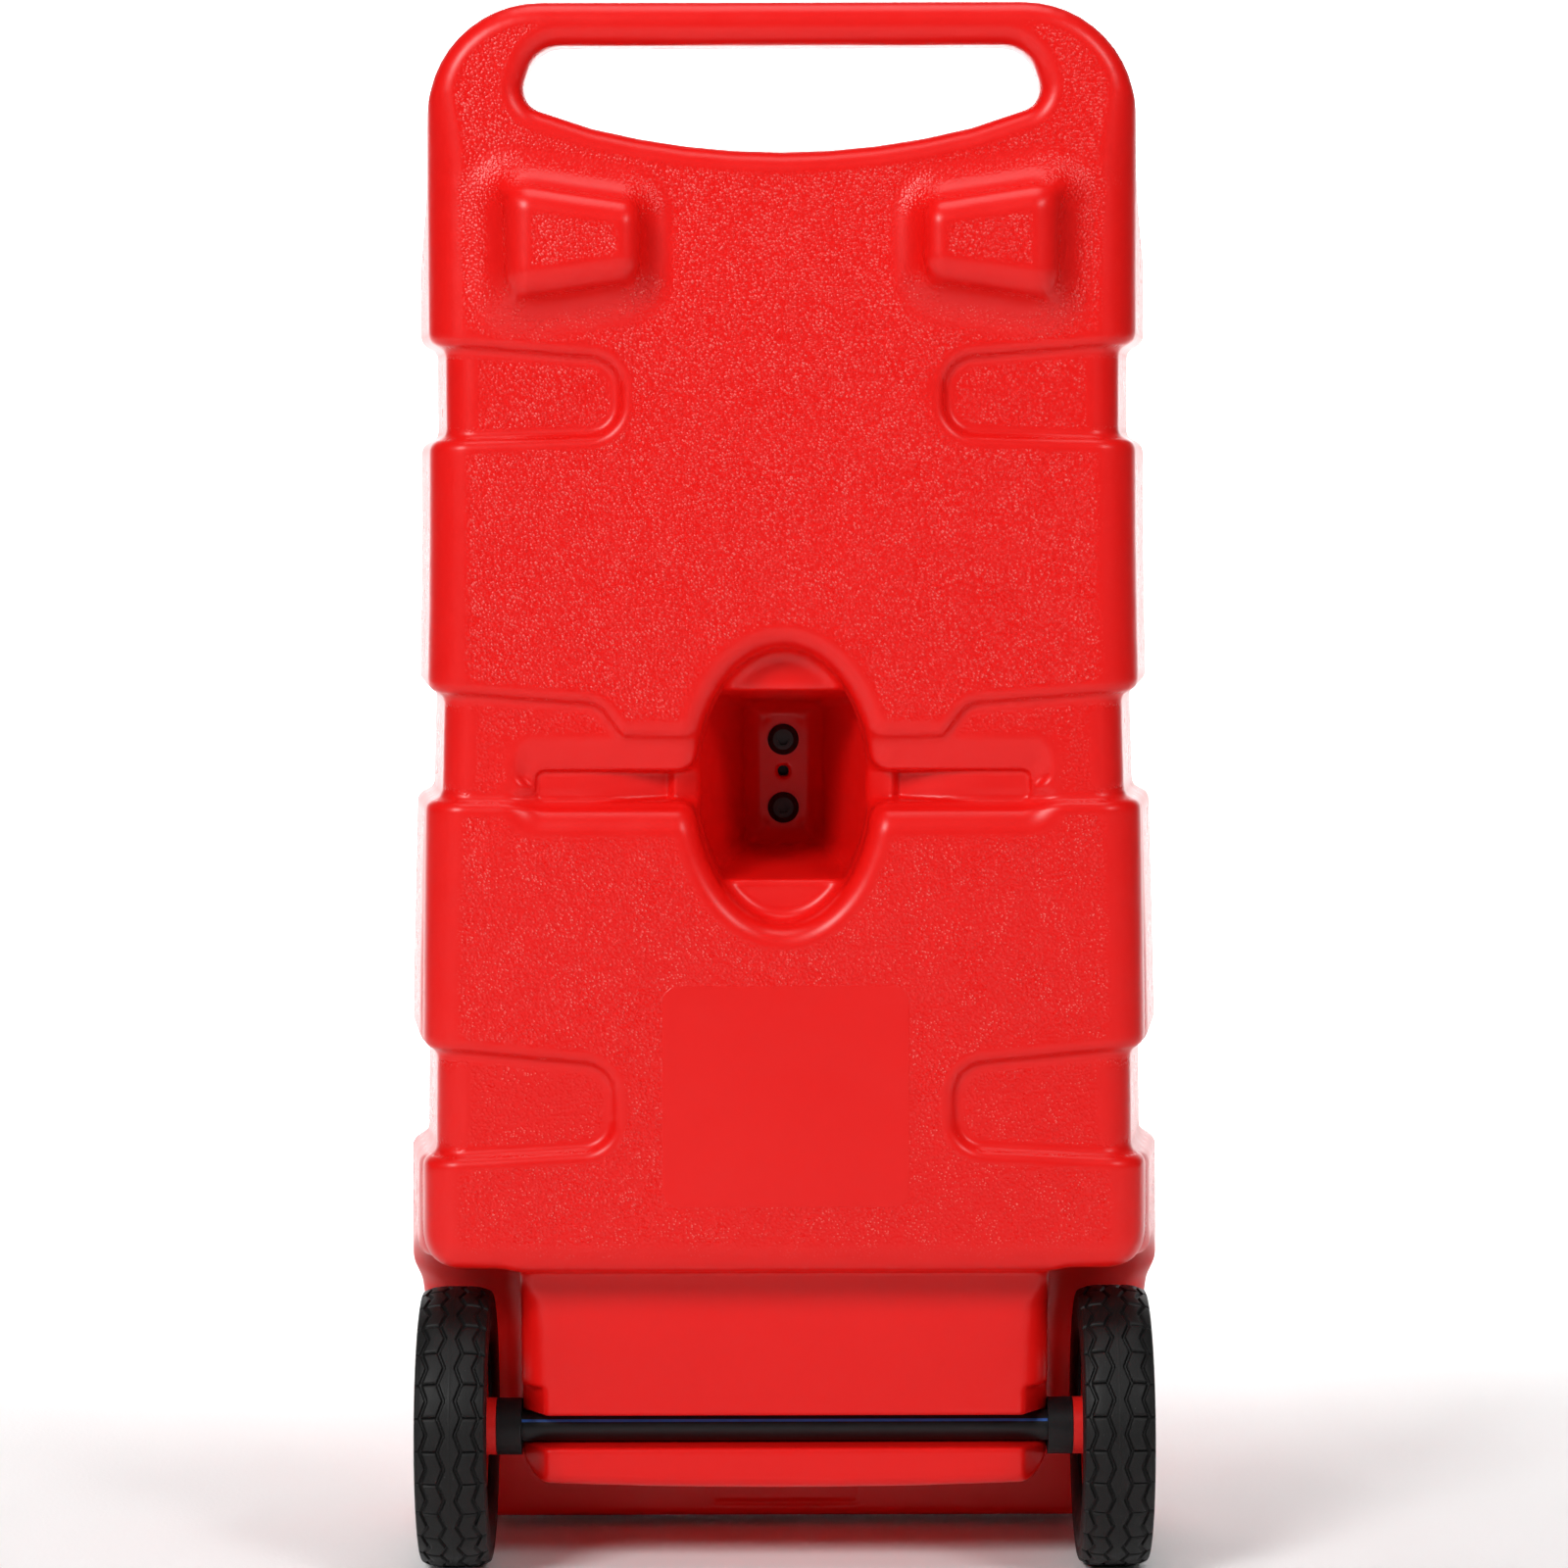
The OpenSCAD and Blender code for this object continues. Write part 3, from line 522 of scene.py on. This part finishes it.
class Nodes:
    """A small helper that adds and links the nodes of one material."""

    def __init__(self, name):
        self.material = bpy.data.materials.new(name)
        self.material.use_nodes = True
        self.tree = self.material.node_tree
        self.shader = self.tree.nodes["Principled BSDF"]
        self.place = self.add("ShaderNodeTexCoord").outputs["Object"]

    def add(self, kind, **settings):
        node = self.tree.nodes.new(kind)
        for key, value in settings.items():
            setattr(node, key, value)
        return node

    def put(self, socket, value):
        if isinstance(value, bpy.types.NodeSocket):
            self.tree.links.new(value, socket)
        else:
            socket.default_value = value

    def math(self, operation, a, b=0.0):
        node = self.add("ShaderNodeMath", operation=operation)
        for socket, value in zip(node.inputs, (a, b)):
            self.put(socket, value)
        return node.outputs[0]

    def noise(self, scale, detail=3.0, rough=0.5):
        node = self.add("ShaderNodeTexNoise")
        self.put(node.inputs["Vector"], self.place)
        self.put(node.inputs["Scale"], scale)
        self.put(node.inputs["Detail"], detail)
        self.put(node.inputs["Roughness"], rough)
        return node.outputs["Fac"]

    def pebble(self, scale, smooth):
        node = self.add("ShaderNodeTexVoronoi", feature="SMOOTH_F1")
        self.put(node.inputs["Vector"], self.place)
        self.put(node.inputs["Scale"], scale)
        self.put(node.inputs["Smoothness"], smooth)
        return node.outputs["Distance"]

    def spread(self, value, low, high, from_low=0.0, from_high=1.0):
        """Eases from low to high as the value goes from from_low to from_high."""
        node = self.add("ShaderNodeMapRange", interpolation_type="SMOOTHSTEP")
        for socket, item in zip(node.inputs, (value, from_low, from_high, low, high)):
            self.put(socket, item)
        return node.outputs[0]

    def mix(self, share, a, b):
        node = self.add("ShaderNodeMix", data_type="RGBA")
        self.put(node.inputs[0], share)
        self.put(node.inputs[6], (*a, 1) if isinstance(a, tuple) else a)
        self.put(node.inputs[7], (*b, 1) if isinstance(b, tuple) else b)
        return node.outputs[2]

    def bump(self, height, distance, below=None):
        node = self.add("ShaderNodeBump")
        self.put(node.inputs["Height"], height)
        self.put(node.inputs["Distance"], distance)
        if below is not None:
            self.put(node.inputs["Normal"], below)
        return node.outputs[0]

    def finish(self, **sockets):
        for name, value in sockets.items():
            self.put(self.shader.inputs[name.replace("_", " ")], value)
        return self.material


LABEL_AT = (0.001, 0.2628)            # middle of the smooth label patch, in metres
LABEL_HALF = (0.0565, 0.0500)         # its half width and half height, less the corners' radius
LABEL_R = 0.0090


def tank_plastic():
    """Red plastic with moulded pebbles and small painted glints (light-pink highlight specks in the base
    colour), smooth on the label patch.
    """
    n = Nodes("red blow-moulded plastic")
    grain = n.add("ShaderNodeAttribute", attribute_name="grain").outputs["Fac"]
    spot = n.add("ShaderNodeSeparateXYZ")
    n.put(spot.inputs[0], n.place)
    px, py, pz = spot.outputs
    qx = n.math("SUBTRACT", n.math("ABSOLUTE", n.math("SUBTRACT", px, LABEL_AT[0])), LABEL_HALF[0])
    qz = n.math("SUBTRACT", n.math("ABSOLUTE", n.math("SUBTRACT", pz, LABEL_AT[1])), LABEL_HALF[1])
    qx = n.math("MAXIMUM", qx, 0.0)
    qz = n.math("MAXIMUM", qz, 0.0)
    corner = n.math("SQRT", n.math("ADD", n.math("MULTIPLY", qx, qx), n.math("MULTIPLY", qz, qz)))
    outside = n.spread(corner, 0.0, 1.0, LABEL_R, LABEL_R + 0.0006)
    front = n.spread(py, 0.0, 1.0, -0.05, -0.04)
    keep = n.math("MAXIMUM", outside, front)
    rough_area = n.math("MULTIPLY", grain, keep)
    cells = n.pebble(620, 0.5)
    pebbles = n.spread(cells, 0.0, 1.0, 0.1, 0.75)
    fine = n.noise(1500, 2.0, 0.6)
    height = n.math("MULTIPLY", n.math("ADD", n.math("MULTIPLY", pebbles, -1.0),
                                       n.math("MULTIPLY", fine, 0.25)), rough_area)
    wave = n.bump(n.noise(14, 2.0, 0.5), 0.0012)
    swirl = n.bump(n.noise(160, 3.0, 0.5), 0.00006, wave)
    normal = n.bump(height, 0.00026, swirl)
    tone = n.mix(n.noise(9, 3.0), (0.76, 0.0045, 0.0035), (0.83, 0.0075, 0.0055))
    # Painted highlights: sparse light-pink specks are mixed into the base colour on the pebbles' crowns, in
    # patches, so the grain looks as if it catches the lamps.
    painted_glint_patches = n.spread(n.noise(75, 3.0), 0.15, 1.0, 0.42, 0.62)
    painted_glints = n.math("MULTIPLY", n.spread(cells, 0.42, 0.0, 0.12, 0.34), painted_glint_patches)
    colour = n.mix(n.math("MULTIPLY", rough_area, painted_glints), tone, (0.95, 0.30, 0.26))
    rough = n.math("ADD", n.spread(n.noise(60, 4.0), 0.30, 0.37), n.math("MULTIPLY", rough_area, -0.05))
    return n.finish(Base_Color=colour, Roughness=rough, Normal=normal, Specular_IOR_Level=0.34)


def hub_plastic():
    n = Nodes("red moulded plastic")
    tone = n.mix(n.noise(20, 3.0), (0.74, 0.012, 0.010), (0.82, 0.020, 0.015))
    normal = n.bump(n.noise(900, 3.0), 0.00005)
    return n.finish(Base_Color=tone, Roughness=n.spread(n.noise(90, 4.0), 0.30, 0.44), Normal=normal)


def black_plastic():
    n = Nodes("black moulded plastic")
    tone = n.mix(n.noise(120, 4.0), (0.005, 0.005, 0.006), (0.009, 0.009, 0.010))
    normal = n.bump(n.noise(1100, 3.0), 0.00008)
    return n.finish(Base_Color=tone, Roughness=n.spread(n.noise(70, 4.0), 0.36, 0.52), Normal=normal,
                    Specular_IOR_Level=0.35)


def sleeve_plastic():
    """Black extruded tube with one thin blue line along its upper rear."""
    n = Nodes("black sleeve with a blue line")
    spot = n.add("ShaderNodeSeparateXYZ")
    n.put(spot.inputs[0], n.place)
    _, py, pz = spot.outputs
    off = n.math("ABSOLUTE", n.math("SUBTRACT", pz, AXLE_Z * MM + 0.0042))
    line = n.math("MULTIPLY", n.spread(off, 1.0, 0.0, 0.00055, 0.0008),
                  n.spread(py, 1.0, 0.0, AXLE_Y * MM - 0.001, AXLE_Y * MM))
    tone = n.mix(n.noise(150, 4.0), (0.005, 0.005, 0.006), (0.010, 0.010, 0.011))
    colour = n.mix(line, tone, (0.03, 0.11, 0.42))
    normal = n.bump(n.noise(800, 3.0), 0.00006)
    return n.finish(Base_Color=colour, Roughness=n.spread(n.noise(90, 4.0), 0.34, 0.5), Normal=normal,
                    Specular_IOR_Level=0.35)


def tyre_rubber():
    n = Nodes("tyre rubber")
    tone = n.mix(n.noise(60, 5.0), (0.003, 0.003, 0.003), (0.006, 0.006, 0.0057))
    dust = n.spread(n.noise(900, 2.0), 0.0, 0.5, 0.74, 0.80)
    colour = n.mix(dust, tone, (0.12, 0.12, 0.115))
    normal = n.bump(n.noise(1300, 4.0), 0.00012)
    return n.finish(Base_Color=colour, Roughness=n.spread(n.noise(110, 4.0), 0.44, 0.60), Normal=normal,
                    Specular_IOR_Level=0.3)


def seal_rubber():
    n = Nodes("seal rubber")
    tone = n.mix(n.noise(80, 4.0), (0.02, 0.02, 0.02), (0.035, 0.035, 0.034))
    normal = n.bump(n.noise(1200, 3.0), 0.0001)
    return n.finish(Base_Color=tone, Roughness=n.spread(n.noise(90, 4.0), 0.6, 0.75), Normal=normal)


def tube_plastic():
    n = Nodes("natural tube plastic")
    tone = n.mix(n.noise(40, 4.0), (0.62, 0.61, 0.55), (0.72, 0.71, 0.66))
    normal = n.bump(n.noise(500, 3.0), 0.00006)
    return n.finish(Base_Color=tone, Roughness=n.spread(n.noise(60, 4.0), 0.32, 0.48), Normal=normal)


def steel():
    n = Nodes("zinc-plated steel")
    tone = n.mix(n.noise(200, 5.0), (0.52, 0.53, 0.55), (0.66, 0.67, 0.69))
    normal = n.bump(n.noise(1600, 3.0), 0.00004)
    return n.finish(Base_Color=tone, Metallic=1.0, Roughness=n.spread(n.noise(300, 4.0), 0.22, 0.42),
                    Normal=normal)


def black_steel():
    n = Nodes("black oxide steel")
    tone = n.mix(n.noise(300, 4.0), (0.010, 0.010, 0.010), (0.018, 0.018, 0.019))
    normal = n.bump(n.noise(1400, 3.0), 0.00005)
    return n.finish(Base_Color=tone, Metallic=0.2, Roughness=n.spread(n.noise(250, 4.0), 0.34, 0.52),
                    Normal=normal)


# ------------------------------------------------------------------ pieces

def dress(obj, material):
    obj.data.materials.clear()
    obj.data.materials.append(material)


looks = {
    "tank_plastic": tank_plastic(), "hub_plastic": hub_plastic(), "black_plastic": black_plastic(),
    "tyre_rubber": tyre_rubber(), "seal_rubber": seal_rubber(), "tube_plastic": tube_plastic(),
    "steel": steel(), "black_steel": black_steel(),
}
finish_of = {
    **dict.fromkeys(TANK_NODES, "tank_plastic"), "axle_rod": "steel", "left_wheel_hub": "hub_plastic",
    "right_wheel_hub": "hub_plastic", "left_tyre": "tyre_rubber", "right_tyre": "tyre_rubber",
    "left_axle_washer": "steel", "right_axle_washer": "steel", "filler_gasket": "seal_rubber",
    "vent_gasket": "seal_rubber", "outlet_gasket": "seal_rubber", "pickup_tube": "tube_plastic",
    "holster_bolts": "black_steel", "holster_washers": "steel", "holster_nuts": "steel",
}
for node_name, cad_object in frame["nodes"].items():
    dress(cad_object, looks[finish_of.get(node_name, "black_plastic")])
dress(frame["nodes"]["axle_sleeve"], sleeve_plastic())

tank = make_tank()
dress(tank, looks["tank_plastic"])
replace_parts(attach(tank, "tote"), *TANK_NODES)
for side, word in ((-1, "left"), (1, "right")):
    tyre = make_tyre(word + "_treaded_tyre", side)
    dress(tyre, looks["tyre_rubber"])
    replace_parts(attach(tyre, word + "_wheel"), word + "_tyre")


# ------------------------------------------------------------------ studio

def backdrop():
    """A pale floor that curves up into a wall behind the tote."""
    profile = [(-6, 0), (2.2, 0)]
    profile += [(2.2 + 1.5 * math.sin(a), 1.5 - 1.5 * math.cos(a)) for a in np.radians(np.arange(6, 91, 6))]
    profile += [(3.7, 6)]
    points = [(x, y, z) for y, z in profile for x in (-7, 7)]
    faces = [(2 * i, 2 * i + 1, 2 * i + 3, 2 * i + 2) for i in range(len(profile) - 1)]
    floor = mesh_object("floor", np.array(points) / MM, faces)
    n = Nodes("pale floor")
    normal = n.bump(n.noise(400, 3.0), 0.0002)
    dress(floor, n.finish(Base_Color=(0.93, 0.93, 0.93, 1), Roughness=n.spread(n.noise(8, 3.0), 0.6, 0.75),
                          Normal=normal))


def softbox(name, place, target, size, power):
    lamp = bpy.data.lights.new(name, "AREA")
    lamp.shape = "RECTANGLE"
    lamp.size, lamp.size_y = size
    lamp.energy = power
    light = bpy.data.objects.new(name, lamp)
    light.location = place
    light.rotation_euler = (Vector(target) - Vector(place)).to_track_quat("-Z", "Y").to_euler()
    bpy.context.scene.collection.objects.link(light)
    return light


backdrop()
softbox("left", (-1.8, -2.8, 2.3), (0, 0, 0.42), (1.0, 1.2), 84)
softbox("right", (2.0, -2.7, 2.3), (0, 0, 0.42), (0.8, 1.1), 37)
softbox("wall wash", (0, 1.2, 3.4), (0, 3.2, 0.9), (1.8, 0.8), 150).data.spread = math.radians(110)
softbox("overhead", (0, -0.3, 3.2), (0, 0, 0.3), (1.6, 1.6), 26)

world = bpy.data.worlds.new("studio")
bpy.context.scene.world = world
world.use_nodes = True
world.node_tree.nodes["Background"].inputs["Color"].default_value = (1, 1, 1, 1)
world.node_tree.nodes["Background"].inputs["Strength"].default_value = 0.05
bpy.context.scene.view_settings.view_transform = "Standard"

camera_data = bpy.data.cameras.new("camera")
camera_data.lens = 116.9
camera_data.clip_end = 50
camera = bpy.data.objects.new("camera", camera_data)
camera.location = (0.0008, AXLE_Y * MM - 2.75, 0.5948)
camera.rotation_euler = (math.radians(90 - 3.5), math.radians(0.13), 0)
bpy.context.scene.collection.objects.link(camera)
bpy.context.scene.camera = camera
